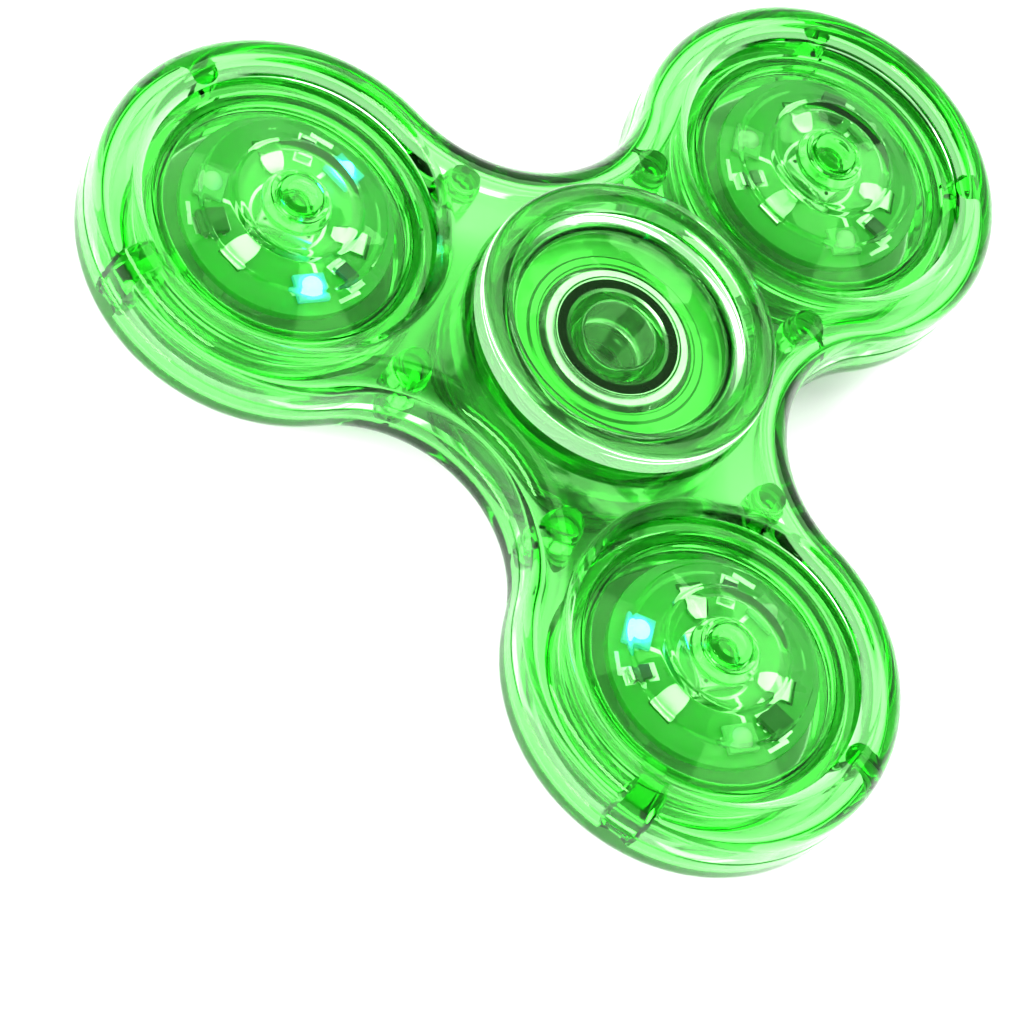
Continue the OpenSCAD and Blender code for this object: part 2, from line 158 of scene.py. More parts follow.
def lathe(profile, segments=160, closed=True):
    """A bmesh turned about Z from (radius, height) points. Points at radius 0 become poles."""
    mesh = bmesh.new()
    rings = []
    for r, z in profile:
        if r < ON_AXIS:
            rings.append([mesh.verts.new((0, 0, z))])
        else:
            rings.append([
                mesh.verts.new((r * math.cos(TAU * s / segments), r * math.sin(TAU * s / segments), z))
                for s in range(segments)
            ])
    last = len(rings) if closed else len(rings) - 1
    for i in range(last):
        a, b = rings[i], rings[(i + 1) % len(rings)]
        if len(a) == 1 and len(b) == 1:
            continue
        for s in range(segments):
            n = (s + 1) % segments
            corners = [a[s % len(a)], a[n % len(a)], b[n % len(b)], b[s % len(b)]]
            face = [v for j, v in enumerate(corners) if v not in corners[:j]]
            mesh.faces.new(face)
    return outward(mesh)


def waist_centre():
    """Distance from the hub's axis to the centre of a waist's arc."""
    side = ARM * math.sin(HALF_STEP)
    return ARM * math.cos(HALF_STEP) + math.sqrt((LOBE_RADIUS + WAIST_RADIUS) ** 2 - side ** 2)


def outline(inset, lobe_steps=96, waist_steps=44):
    """Points of the three-lobed outline, moved inwards by inset."""
    reach = waist_centre()
    lobe_span = math.atan2(reach * math.sin(HALF_STEP), reach * math.cos(HALF_STEP) - ARM)
    waist_span = lobe_span - HALF_STEP
    points = []

    def add_point(distance, direction, radius, angle):
        points.append((
            distance * math.cos(direction) + radius * math.cos(angle),
            distance * math.sin(direction) + radius * math.sin(angle)))

    for k in POD_NUMBERS:
        arm = POD_ANGLES[1] + (k - 1) * 2 * HALF_STEP
        for j in range(lobe_steps + 1):
            add_point(ARM, arm, LOBE_RADIUS - inset, arm + lobe_span * (2 * j / lobe_steps - 1))
        gap = arm + HALF_STEP
        for j in range(1, waist_steps):
            facing = gap + math.pi - waist_span * (2 * j / waist_steps - 1)
            add_point(reach, gap, WAIST_RADIUS + inset, facing)
    return points


def lofted(rings):
    """A closed bmesh through the outline at each (height, inset)."""
    mesh = bmesh.new()
    loops = [[mesh.verts.new((x, y, z)) for x, y in outline(inset)] for z, inset in rings]
    count = len(loops[0])
    for low, high in zip(loops, loops[1:]):
        for j in range(count):
            n = (j + 1) % count
            mesh.faces.new((low[j], low[n], high[n], high[j]))
    mesh.faces.new(loops[0][::-1])
    mesh.faces.new(loops[-1])
    return outward(mesh)


def solid(mesh):
    """A scratch object from a bmesh, for booleans."""
    data = bpy.data.meshes.new("tool")
    mesh.to_mesh(data)
    mesh.free()
    thing = bpy.data.objects.new("tool", data)
    bpy.context.scene.collection.objects.link(thing)
    return thing


def mesh_of(thing):
    """The bmesh of a scratch object, which is removed."""
    mesh = bmesh.new()
    mesh.from_mesh(thing.data)
    bpy.data.objects.remove(thing)
    return mesh


def combine(base, tools, operation):
    """Applies one boolean of base with each tool, and removes the tools."""
    for tool in tools:
        mod = base.modifiers.new("cut", "BOOLEAN")
        mod.operation = operation
        mod.solver = "MANIFOLD"
        mod.object = tool
    graph = bpy.context.evaluated_depsgraph_get()
    data = bpy.data.meshes.new_from_object(base.evaluated_get(graph))
    base.modifiers.clear()
    base.data = data
    for tool in tools:
        bpy.data.objects.remove(tool)
    return base


def moved(mesh, x=0.0, y=0.0, z=0.0):
    bmesh.ops.translate(mesh, vec=(x, y, z), verts=mesh.verts)
    return mesh


def disc_profile(radius, low, high):
    """The half section of a solid disc on the axis."""
    return [(0, low), (radius, low), (radius, high), (0, high)]


def quarter(steps):
    """Cosine and sine at even steps from 0 to a right angle."""
    return [(math.cos(math.pi / 2 * s / steps), math.sin(math.pi / 2 * s / steps)) for s in range(steps + 1)]


# ---------------------------------------------------------------- materials

# Light lost per metre in red, green and blue at a depth of 1.
GREEN_LOSS = (360, 55, 370)
STRONGEST_LOSS = 400
WALL_TINT = (0.88, 0.97, 0.88)
GLOSS_TINT = (0.25, 1.0, 0.22)


class Nodes:
    """A new material with short calls for its nodes."""

    def __init__(self, name):
        self.material = bpy.data.materials.new(name)
        self.material.use_nodes = True
        self.tree = self.material.node_tree
        self.shader = self.tree.nodes["Principled BSDF"]
        self.output = self.tree.nodes["Material Output"]
        coords = self.tree.nodes.new("ShaderNodeTexCoord")
        self.place = coords.outputs["Object"]

    def set(self, **values):
        for key, value in values.items():
            self.shader.inputs[key.replace("_", " ")].default_value = value
        return self

    def node(self, kind, **settings):
        made = self.tree.nodes.new(kind)
        for key, value in settings.items():
            setattr(made, key, value)
        return made

    def link(self, source, target):
        self.tree.links.new(source, target)

    def noise(self, scale, detail=4.0, stretch=None, roughness=0.5):
        made = self.node("ShaderNodeTexNoise")
        made.inputs["Scale"].default_value = scale
        made.inputs["Detail"].default_value = detail
        made.inputs["Roughness"].default_value = roughness
        self.link(self.stretched(stretch) if stretch else self.place, made.inputs["Vector"])
        return made.outputs["Fac"]

    def stretched(self, scale):
        mapping = self.node("ShaderNodeMapping")
        mapping.inputs["Scale"].default_value = scale
        self.link(self.place, mapping.inputs["Vector"])
        return mapping.outputs["Vector"]

    def spread(self, value, low, high, start=0.3, end=0.7):
        """Maps a pattern from start..end to low..high."""
        made = self.node("ShaderNodeMapRange")
        made.inputs["From Min"].default_value = start
        made.inputs["From Max"].default_value = end
        made.inputs["To Min"].default_value = low
        made.inputs["To Max"].default_value = high
        self.link(value, made.inputs["Value"])
        return made.outputs["Result"]

    def ramp(self, value, *stops):
        made = self.node("ShaderNodeValToRGB")
        while len(made.color_ramp.elements) < len(stops):
            made.color_ramp.elements.new(0.5)
        for element, (position, colour) in zip(made.color_ramp.elements, stops):
            element.position = position
            element.color = (*colour, 1)
        self.link(value, made.inputs["Fac"])
        return made.outputs["Color"]

    def bump(self, height, strength, distance=0.0001):
        made = self.node("ShaderNodeBump")
        made.inputs["Strength"].default_value = strength
        made.inputs["Distance"].default_value = distance
        self.link(height, made.inputs["Height"])
        self.link(made.outputs["Normal"], self.shader.inputs["Normal"])
        return made


def clear_plastic(name, depth=1.0, waves=0.25, gloss=0.02, ior=1.5):
    """Polished clear plastic: colour by absorption, soft moulding waves and fine handling marks."""
    m = Nodes(name)
    m.set(Base_Color=(*WALL_TINT, 1), Transmission_Weight=1.0, IOR=ior, Specular_Tint=(*GLOSS_TINT, 1))
    marks = m.noise(900, 6, roughness=0.7)
    m.link(m.spread(marks, gloss, gloss + 0.05, 0.45, 0.8), m.shader.inputs["Roughness"])
    m.bump(m.noise(220, 2), waves, 0.00025)
    volume = m.node("ShaderNodeVolumeAbsorption")
    volume.inputs["Color"].default_value = (*[1 - loss / STRONGEST_LOSS for loss in GREEN_LOSS], 1)
    volume.inputs["Density"].default_value = STRONGEST_LOSS * depth
    m.link(volume.outputs["Volume"], m.output.inputs["Volume"])
    return m.material


def metal(name, colour, rough, streaks=(1, 1, 1), bump=0.15):
    """Bare metal with a directional or cloudy finish."""
    m = Nodes(name)
    m.set(Metallic=1.0)
    cloud = m.noise(500, 5, streaks)
    dark = tuple(c * 0.8 for c in colour)
    m.link(m.ramp(cloud, (0.3, dark), (0.7, colour)), m.shader.inputs["Base Color"])
    m.link(m.spread(cloud, rough, rough + 0.12), m.shader.inputs["Roughness"])
    m.bump(m.noise(2500, 3, streaks), bump, 0.00003)
    return m.material


def plastic(name, colour, rough, grain=0.2):
    """Opaque moulded plastic or lacquer."""
    m = Nodes(name)
    cloud = m.noise(300, 5)
    dark = tuple(c * 0.82 for c in colour)
    m.link(m.ramp(cloud, (0.3, dark), (0.7, colour)), m.shader.inputs["Base Color"])
    m.link(m.spread(cloud, rough, rough + 0.15), m.shader.inputs["Roughness"])
    m.bump(m.noise(3000, 3), grain, 0.00004)
    return m.material


def lit_epoxy(name, colour, glow, strength):
    """An LED's dome or housing, which glows when strength is above zero; on a housing this glow is painted
    light from the LED.
    """
    m = Nodes(name)
    m.set(Roughness=0.15, Emission_Strength=strength, Emission_Color=(*glow, 1))
    cloud = m.noise(800, 3)
    dark = tuple(c * 0.85 for c in colour)
    m.link(m.ramp(cloud, (0.3, dark), (0.7, colour)), m.shader.inputs["Base Color"])
    return m.material


SHELL_CLEAR = clear_plastic("shell_clear", 1.3, waves=0.06)
CAP_CLEAR = clear_plastic("cap_clear", 0.6, waves=0.1)
POD_CLEAR = clear_plastic("pod_clear", 1.5, waves=0.12)
BUTTON_CLEAR = clear_plastic("button_clear", 1.6, waves=0.2)
STEEL = metal("bearing_steel", (0.50, 0.80, 0.48), 0.25)
CHROME = metal("ball_chrome", (0.75, 0.76, 0.77), 0.04, bump=0.02)
# Painted shade: the outer ring's steel is a much darker copy of the bearing steel. It stands in for the dark
# sickle seen through the far wall of the hub's recess.
PAINTED_SHADE_STEEL = metal("outer_ring_painted_shade_steel", (0.07, 0.30, 0.07), 0.3)
SHIELD = metal("shield_steel", (0.06, 0.44, 0.05), 0.32)
NYLON = plastic("cage_nylon", (0.75, 0.75, 0.70), 0.45)
TIN = metal("switch_metal", (0.72, 0.95, 0.70), 0.22)
MASK = plastic("board_green", (0.01, 0.38, 0.01), 0.25)
NICKEL = metal("cell_nickel", (0.72, 0.73, 0.72), 0.18)
SPRING = metal("clip_nickel", (0.66, 0.93, 0.63), 0.16)
EPOXY = plastic("chip_black", (0.01, 0.11, 0.01), 0.4)
CERAMIC = plastic("resistor_ceramic", (0.04, 0.06, 0.05), 0.3)
LED_HOUSING = plastic("led_housing", (0.22, 0.62, 0.22), 0.4)
# Painted glow: housings of lit LEDs get a cyan tint and a faint emission that stand in for the LED's light
# spilling into them.
PAINTED_GLOW_HOUSING = lit_epoxy("painted_glow_housing", (0.15, 0.55, 0.4), (0.0, 0.4, 0.55), 0.7)
LED_LIT = lit_epoxy("led_lit", (0.3, 0.9, 0.95), (0.04, 0.65, 1.0), 60)
LED_DARK = lit_epoxy("led_dark", (0.75, 0.85, 0.72), (1, 1, 1), 0)


# ---------------------------------------------------------------- shells

SEAM_GAP = 0.015
BEARING_SEAT = BEARING_RADIUS + 0.05
SEAT_WALL = 1.6
LIP_RADIUS = BEARING_RADIUS - 1.0
POD_HOLE = POD_RADIUS + 0.1
BOSS_RADIUS = POD_HOLE + 1.2
FLANGE_RADIUS = POD_RADIUS + 0.6
FLANGE_POCKET_RADIUS = FLANGE_RADIUS + 0.1
FLANGE_POCKET_TOP = 0.6
BARREL_TOP = HALF_BODY - 1.9
MOAT_OUTER = LOBE_RADIUS - 2.5
MOAT_STEPS = 14
POST_TOP = HALF_BODY - 0.7 * FACE_WALL
POST_RADIUS = 1.5
POST_BELLY = 1.62
POST_NECK = 1.2
RIM_POST_INSET = 0.85
RIM_POST_ANGLE = math.radians(43)
WAIST_POST_INSET = 1.85
WAIST_POST_ANGLE = math.radians(31)


def edge_rings(inset, top, radius, steps):
    """Heights and insets of an outer edge rounded with this radius."""
    return [(top - radius + radius * sine, inset + radius * (1 - cosine)) for cosine, sine in quarter(steps)]


def at_each_pod(make):
    return [solid(moved(make(), *POD_CENTRES[k])) for k in POD_NUMBERS]


def post_places():
    """Centres of the joining posts: two at the rim of each lobe and two beside each waist."""
    outer = LOBE_RADIUS - SIDE_WALL - RIM_POST_INSET
    inner = waist_centre() - WAIST_RADIUS + WAIST_POST_INSET
    for k in POD_NUMBERS:
        arm, centre = POD_ANGLES[k], POD_CENTRES[k]
        for side in (-1, 1):
            a = arm + side * RIM_POST_ANGLE
            yield centre.x + outer * math.cos(a), centre.y + outer * math.sin(a)
            a = arm + side * WAIST_POST_ANGLE
            yield inner * math.cos(a), inner * math.sin(a)


def barrel_post():
    """A joining post that swells a little at the seam."""
    profile = [
        (0, SEAM_GAP), (POST_RADIUS, SEAM_GAP), (POST_BELLY, 0.5), (POST_BELLY, 1.4),
        (POST_RADIUS, 2.4), (POST_NECK, 2.9), (POST_NECK, POST_TOP), (0, POST_TOP),
    ]
    return lathe(rounded(profile, 0.4, keep=(0, 1, 6, 7)), 64, closed=False)


def moat():
    """The dish round a pod: a smooth fall from the lobe's rim to the pod's barrel."""
    low, high = BARREL_TOP + 0.2, HALF_BODY
    inner, outer = POD_HOLE + 0.25, MOAT_OUTER
    profile = [(0, low), (inner, low)]
    for s in range(1, MOAT_STEPS + 1):
        t = s / MOAT_STEPS
        rise = 0.5 - 0.5 * math.cos(math.pi * t)
        profile.append((inner + (outer - inner) * t, low + (high - low) * rise + 1e-3 * t))
    profile += [(outer, high + 1), (0, high + 1)]
    return lathe(profile, 160, closed=False)


def upper_shell():
    """The upper half of the body, with its bearing seat, pod barrels and posts."""
    body = solid(lofted(
        [(SEAM_GAP, SEAM_DEPTH), (SEAM_DEPTH, 0)] + edge_rings(0, HALF_BODY, EDGE_RADIUS, 12)))
    cavity = solid(lofted(
        [(-1, SIDE_WALL)] + edge_rings(SIDE_WALL, HALF_BODY - FACE_WALL, EDGE_RADIUS - 0.6 * SIDE_WALL, 8)))
    combine(body, [cavity], "DIFFERENCE")

    def drum(radius, low, high):
        return lathe(disc_profile(radius, low, high), closed=False)
    seat = solid(drum(BEARING_SEAT + SEAT_WALL, SEAM_GAP, POST_TOP))
    bosses = at_each_pod(lambda: drum(BOSS_RADIUS, SEAM_GAP, BARREL_TOP + 0.1))
    posts = [solid(moved(barrel_post(), x, y)) for x, y in post_places()]
    combine(body, [seat, *bosses, *posts], "UNION")
    cuts = [solid(drum(BEARING_SEAT, -1, HALF_BEARING)), solid(drum(LIP_RADIUS, -1, HALF_BODY + 1))]
    cuts += at_each_pod(lambda: drum(POD_HOLE, -1, HALF_BODY + 1))
    cuts += at_each_pod(lambda: drum(FLANGE_POCKET_RADIUS, -1, FLANGE_POCKET_TOP))
    cuts += at_each_pod(moat)
    return combine(body, cuts, "DIFFERENCE")


def shell_piece(name, node, material, flip):
    body = upper_shell()
    mesh = mesh_of(body)
    if flip:
        bmesh.ops.scale(mesh, vec=(1, 1, -1), verts=mesh.verts)
        outward(mesh)
    moved(mesh, z=MID)
    piece = mesh_piece(name, mesh, material, "rotor", (node,))
    mod = piece.modifiers.new("normals", "WEIGHTED_NORMAL")
    mod.keep_sharp = True
    return piece


shell_piece("upper_body", "top_shell", SHELL_CLEAR, False)
shell_piece("lower_body", "bottom_shell", SHELL_CLEAR, True)


# ---------------------------------------------------------------- finger caps

STEM_BORE = 3.15
STEM_RADIUS = 3.99
STEM_END = 0.1
COLLAR_RADIUS = 5.25
CAP_GAP = 0.35
CAP_FLOOR = 1.0
STEM_FLOOR = 0.7


def cap_profile():
    """Half section of a finger cap: hollow stem, collar on the inner ring, dish and rim."""
    neck = LIP_RADIUS - CAP_GAP
    floor_under = HALF_BEARING + CAP_GAP
    floor_top = floor_under + CAP_FLOOR
    stem_floor = floor_top - STEM_FLOOR
    rim_low = HALF_BODY + CAP_GAP
    return [
        (0, stem_floor), (STEM_BORE, stem_floor), (STEM_BORE, STEM_END), (STEM_RADIUS, STEM_END),
        (STEM_RADIUS, HALF_BEARING), (COLLAR_RADIUS, HALF_BEARING), (COLLAR_RADIUS, floor_under),
        (neck, floor_under), (neck, rim_low), (CAP_RADIUS, rim_low), (CAP_RADIUS, CAP_TOP),
        (neck + 0.65, CAP_TOP), (neck + 0.1, CAP_TOP - 0.6), (neck - 0.7, floor_top), (0, floor_top),
    ]


def cap_piece(name, node, flip):
    profile = rounded(cap_profile(), 0.3, 6, keep=(0, 3, 4, 14), special={10: 1.0})
    if flip:
        profile = [(r, -z) for r, z in profile]
    mesh = moved(lathe(profile, 192, closed=False), z=MID)
    return mesh_piece(name, mesh, CAP_CLEAR, "hub", (node,))


cap_piece("upper_finger_cap", "finger_cap_top", False)
cap_piece("lower_finger_cap", "finger_cap_bottom", True)


# ---------------------------------------------------------------- light pods

RING_RADIUS = POD_RADIUS - 3.5
CROWN_RADIUS = RING_RADIUS - 2.3
RING_Z = BARREL_TOP + 1.75
CROWN_Z = HALF_BODY + 0.9
CROWN_UNDER = CROWN_Z - 0.9
POD_WALL = 1.0
POD_INSIDE = POD_RADIUS - POD_WALL
FLANGE = 0.5
LENS_LOW = FLANGE + 0.03
BASE_DEPTH = HALF_BODY - 0.4
BUTTON_HOLE = 1.87
BUTTON_RADIUS = 1.75
BUTTON_FLANGE = 2.85
BUTTON_FLANGE_THICK = 0.6
COLLAR_WIDTH = 0.5
COLLAR_HEIGHT = 0.2


def pod_place(k):
    centre = POD_CENTRES[k]
    shift = Matrix.Translation((centre.x * MM, centre.y * MM, MID * MM))
    return shift @ Matrix.Rotation(POD_ANGLES[k], 4, "Z")


def lens_mesh():
    collar, collar_top = BUTTON_HOLE + COLLAR_WIDTH, CROWN_Z + COLLAR_HEIGHT
    profile = [
        (BUTTON_HOLE, CROWN_UNDER), (CROWN_RADIUS - 0.8, CROWN_UNDER), (RING_RADIUS - 0.4, RING_Z - 1),
        (POD_INSIDE, BARREL_TOP - 0.4), (POD_INSIDE, LENS_LOW), (POD_RADIUS, LENS_LOW),
        (POD_RADIUS, BARREL_TOP), (RING_RADIUS + 0.2, RING_Z - 0.4), (RING_RADIUS, RING_Z),
        (CROWN_RADIUS + 0.3, CROWN_Z - 0.5), (CROWN_RADIUS, CROWN_Z - 0.1), (CROWN_RADIUS - 0.2, CROWN_Z),
        (collar, CROWN_Z), (collar, collar_top), (BUTTON_HOLE, collar_top),
    ]
    return lathe(rounded(profile, 0.3, 5), 160)


def base_mesh():
    inside = POD_WALL - BASE_DEPTH
    profile = [
        (0, inside), (RING_RADIUS - 0.5, inside), (POD_INSIDE, 0.3 - BARREL_TOP), (POD_INSIDE, FLANGE),
        (FLANGE_RADIUS, FLANGE), (FLANGE_RADIUS, -FLANGE), (POD_RADIUS, -FLANGE),
        (POD_RADIUS, -BARREL_TOP), (RING_RADIUS, -BASE_DEPTH), (0, -BASE_DEPTH),
    ]
    return lathe(rounded(profile, 0.3, 5, keep=(4, 5, 6)), 160, closed=False)


def button_mesh(k):
    low, high = span(f"pod_button_{k}")
    low, high = low.z - MID, high.z - MID
    flange_top = CROWN_UNDER - 0.05
    flange_low = flange_top - BUTTON_FLANGE_THICK
    profile = [
        (0, low), (1.0, low), (1.0, flange_low), (BUTTON_FLANGE, flange_low), (BUTTON_FLANGE, flange_top),
        (BUTTON_RADIUS, flange_top), (BUTTON_RADIUS, high - 0.2), (1.2, high), (0, high),
    ]
    return lathe(rounded(profile, 0.2, 5), 96, closed=False)


for k in POD_NUMBERS:
    place = pod_place(k)
    mesh_piece(f"lens_{k}", lens_mesh(), POD_CLEAR, "rotor", (f"pod_lens_{k}",), place)
    mesh_piece(f"cup_{k}", base_mesh(), POD_CLEAR, "rotor", (f"pod_base_{k}",), place)
    button, node = f"button_{k}", f"pod_button_{k}"
    mesh_piece(f"button_cap_{k}", button_mesh(k), BUTTON_CLEAR, button, (node,), place)


# ---------------------------------------------------------------- inside the pods

def pod_levels():
    """Heights of the stack inside a pod, from its CAD nodes."""
    board = span("pod_board_1")
    cells = span("pod_cells_1")
    clip = span("pod_clip_1")
    switch = span("pod_switch_1")
    return {
        "board_low": board[0].z - MID, "board_top": board[1].z - MID,
        "cells_low": cells[0].z - MID, "cells_top": cells[1].z - MID,
        "clip_low": clip[0].z - MID, "clip_top": clip[1].z - MID,
        "switch_top": switch[1].z - MID,
    }


LEVEL = pod_levels()
BOARD_RADIUS = half_width("pod_board_1")
CELL_RADIUS = half_width("pod_cells_1")
CELL_GAP = 0.05
CLIP_SHEET = 0.25
CLIP_WIDTH = 2.0
CLIP_BEND = 0.45
CLIP_BEND_STEPS = 5
STRAP_STATIONS = (5.4, 4.9, 4.4, 4.1, 3.85, 3.6)
SWITCH_WIDTH = 4.6
SWITCH_WINDOW = 1.12
RIVET_COUNT = 4
RIVET_CIRCLE = 2.55
DOME_RADIUS = 0.8
DOME_STEPS = 10
TRACK_HALF = 0.015
LED_RING = BOARD_RADIUS - 2.2
THIRD = TAU / 3
CHIP_TURN = math.radians(31)
LIT = {1: (), 2: (1, 2), 3: (2,)}    # which LEDs of each pod are lit


def block(size, centre, turn=0.0, radius=0.08, segments=2):
    """A box with rounded edges, turned about the pod's axis."""
    mesh = bmesh.new()
    bmesh.ops.create_cube(mesh, size=1)
    bmesh.ops.scale(mesh, vec=size, verts=mesh.verts)
    bmesh.ops.bevel(mesh, geom=mesh.edges[:], offset=radius, segments=segments, profile=0.5, affect="EDGES")
    bmesh.ops.translate(mesh, vec=centre, verts=mesh.verts)
    bmesh.ops.rotate(mesh, cent=(0, 0, 0), matrix=Matrix.Rotation(turn, 3, "Z"), verts=mesh.verts)
    return mesh


def joined(meshes):
    """One bmesh from several."""
    whole = bmesh.new()
    for mesh in meshes:
        data = bpy.data.meshes.new("part")
        mesh.to_mesh(data)
        mesh.free()
        whole.from_mesh(data)
        bpy.data.meshes.remove(data)
    return whole


def extruded(points, width):
    """A prism from (x, z) points, centred on y = 0."""
    mesh = bmesh.new()
    near = [mesh.verts.new((x, -width / 2, z)) for x, z in points]
    far = [mesh.verts.new((x, width / 2, z)) for x, z in points]
    count = len(points)
    mesh.faces.new(near)
    mesh.faces.new(far[::-1])
    for i in range(count):
        n = (i + 1) % count
        mesh.faces.new((near[n], near[i], far[i], far[n]))
    return outward(mesh)


def turned(mesh, angle):
    bmesh.ops.rotate(mesh, cent=(0, 0, 0), matrix=Matrix.Rotation(angle, 3, "Z"), verts=mesh.verts)
    return mesh


def board_mesh():
    low, top = LEVEL["board_low"], LEVEL["board_top"]
    profile = disc_profile(BOARD_RADIUS, low, top)
    disc = solid(lathe(rounded(profile, 0.08, 3, keep=(0, 3)), 128, closed=False))
    slots = [
        solid(block((0.45, CLIP_WIDTH + 0.2, 3), (CELL_RADIUS + 0.325, 0, top), THIRD * (k + 0.5), 0.05))
        for k in range(3)
    ]
    combine(disc, slots, "DIFFERENCE")
    return mesh_of(disc)


def tracks_mesh():
    """Tinned pads and tracks, a little proud of the board."""
    top = LEVEL["board_top"] + TRACK_HALF
    parts = []
    for k in range(3):
        turn = THIRD * k
        parts.append(block((0.7, 3.1, 0.03), (LED_RING, 0, top), turn, 0.01, 1))
        parts.append(block((2.2, 0.35, 0.03), (4.1, 0.9, top), turn, 0.01, 1))
        parts.append(block((0.35, 2.0, 0.03), (7.9, 0.4, top), turn + 0.35, 0.01, 1))
        parts.append(block((0.9, 1.5, 0.03), (LED_RING - 0.95, 0, top), CHIP_TURN + turn, 0.01, 1))
        parts.append(block((0.9, 1.5, 0.03), (LED_RING + 0.95, 0, top), CHIP_TURN + turn, 0.01, 1))
    low, high = top - TRACK_HALF, top + TRACK_HALF
    ring = [(2.9, low), (3.15, low), (3.15, high), (2.9, high)]
    parts.append(lathe(ring, 96))
    return joined(parts)


def round_ended(mesh):
    """Draws in the sides of a strap's upper end, so that it ends in a nose."""
    start = STRAP_STATIONS[0]
    nose = start - STRAP_STATIONS[-1]
    for vert in mesh.verts:
        if 0 < vert.co.z and vert.co.x < start:
            reach = (start - vert.co.x) / nose
            vert.co.y *= math.sqrt(max(1 - 0.8 * reach * reach, 0.0))
    return mesh


def clip_mesh():
    """A three-armed spring sheet that holds the coin cells up against the board."""
    low, top = LEVEL["clip_low"], LEVEL["clip_top"]
    out = CELL_RADIUS + 0.2 + CLIP_SHEET
    outer = [(0, low)]
    inner = [(0, low + CLIP_SHEET)]
    for corner_z, start, sign in ((low, -math.pi / 2, 1), (top, 0, -1)):
        centre = (out - CLIP_BEND, corner_z + sign * CLIP_BEND)
        for i in range(CLIP_BEND_STEPS + 1):
            a = start + math.pi / 2 * i / CLIP_BEND_STEPS
            outer.append((centre[0] + CLIP_BEND * math.cos(a), centre[1] + CLIP_BEND * math.sin(a)))
            inside = CLIP_BEND - CLIP_SHEET
            inner.append((centre[0] + inside * math.cos(a), centre[1] + inside * math.sin(a)))
    outer += [(r, top) for r in STRAP_STATIONS]
    inner += [(r, top - CLIP_SHEET) for r in STRAP_STATIONS]
    arms = []
    for k in range(3):
        strap = round_ended(extruded(outer + inner[::-1], CLIP_WIDTH))
        arms.append(solid(turned(strap, THIRD * (k + 0.5))))
    plate = solid(lathe(disc_profile(3, low, low + CLIP_SHEET), 96, closed=False))
    combine(plate, arms, "UNION")
    return mesh_of(plate)


def cells_mesh():
    """Two coin cells: a can with a rolled lip round the smaller pole."""
    thick = (LEVEL["cells_top"] - LEVEL["cells_low"] - CELL_GAP) / 2
    cells = []
    for i in range(2):
        low = LEVEL["cells_low"] + i * (thick + CELL_GAP)
        r = CELL_RADIUS
        profile = [
            (0, low), (r, low), (r, low + thick - 0.25), (r - 0.35, low + thick - 0.02),
            (r - 0.75, low + thick - 0.02), (r - 0.8, low + thick - 0.2), (r - 0.95, low + thick - 0.2),
            (r - 1.0, low + thick), (0, low + thick),
        ]
        cells.append(lathe(rounded(profile, 0.18, 4, keep=(0, 8)), 128, closed=False))
    return joined(cells)


def switch_mesh():
    """A tact switch: its tin cover with a round window and four rivet heads."""
    low, top = LEVEL["board_top"], LEVEL["switch_top"]
    body = solid(block((SWITCH_WIDTH, SWITCH_WIDTH, top - low), (0, 0, (top + low) / 2), 0, 0.15, 3))
    well = solid(lathe(disc_profile(SWITCH_WINDOW, low + 0.15, top + 1), 64, closed=False))
    combine(body, [well], "DIFFERENCE")
    rivets = []
    for i in range(RIVET_COUNT):
        a = TAU * (i + 0.5) / RIVET_COUNT
        rivet = [(0, top - 0.2), (0.32, top - 0.2), (0.32, top - 0.06), (0.2, top), (0, top)]
        cap = lathe(rounded(rivet, 0.06, 3, keep=(0, 1, 4)), 32, closed=False)
        rivets.append(moved(cap, RIVET_CIRCLE * math.cos(a), RIVET_CIRCLE * math.sin(a)))
    return joined([mesh_of(body), *rivets])


def led_housing(i):
    top = LEVEL["board_top"]
    return block((2.2, 2.6, 0.5), (LED_RING, 0, top + 0.25), THIRD * i, 0.1)


def led_dome(i):
    base = LEVEL["board_top"] + 0.45
    curve = [(DOME_RADIUS * cosine, base + DOME_RADIUS * sine) for cosine, sine in quarter(DOME_STEPS)[:-1]]
    dome = lathe([(0, base), *curve, (0, base + DOME_RADIUS)], 48, closed=False)
    return turned(moved(dome, LED_RING), THIRD * i)


def chip_mesh():
    top = LEVEL["board_top"]
    body = block((2.2, 2.0, 0.6), (LED_RING, 0, top + 0.4), CHIP_TURN, 0.06)
    legs = [block((0.3, 2.4, 0.1), (LED_RING + x, 0, top + 0.06), CHIP_TURN, 0.03, 1) for x in (-0.7, 0, 0.7)]
    return body, joined(legs)


def resistor_meshes():
    top = LEVEL["board_top"]
    turns = [CHIP_TURN + THIRD * k for k in (1, 2)]
    bodies = joined([block((1.5, 1.15, 0.48), (LED_RING, 0, top + 0.25), t, 0.05) for t in turns])
    ends = joined([
        block((0.35, 1.2, 0.5), (LED_RING + x, 0, top + 0.25), t, 0.08)
        for t in turns for x in (-0.82, 0.82)
    ])
    return bodies, ends


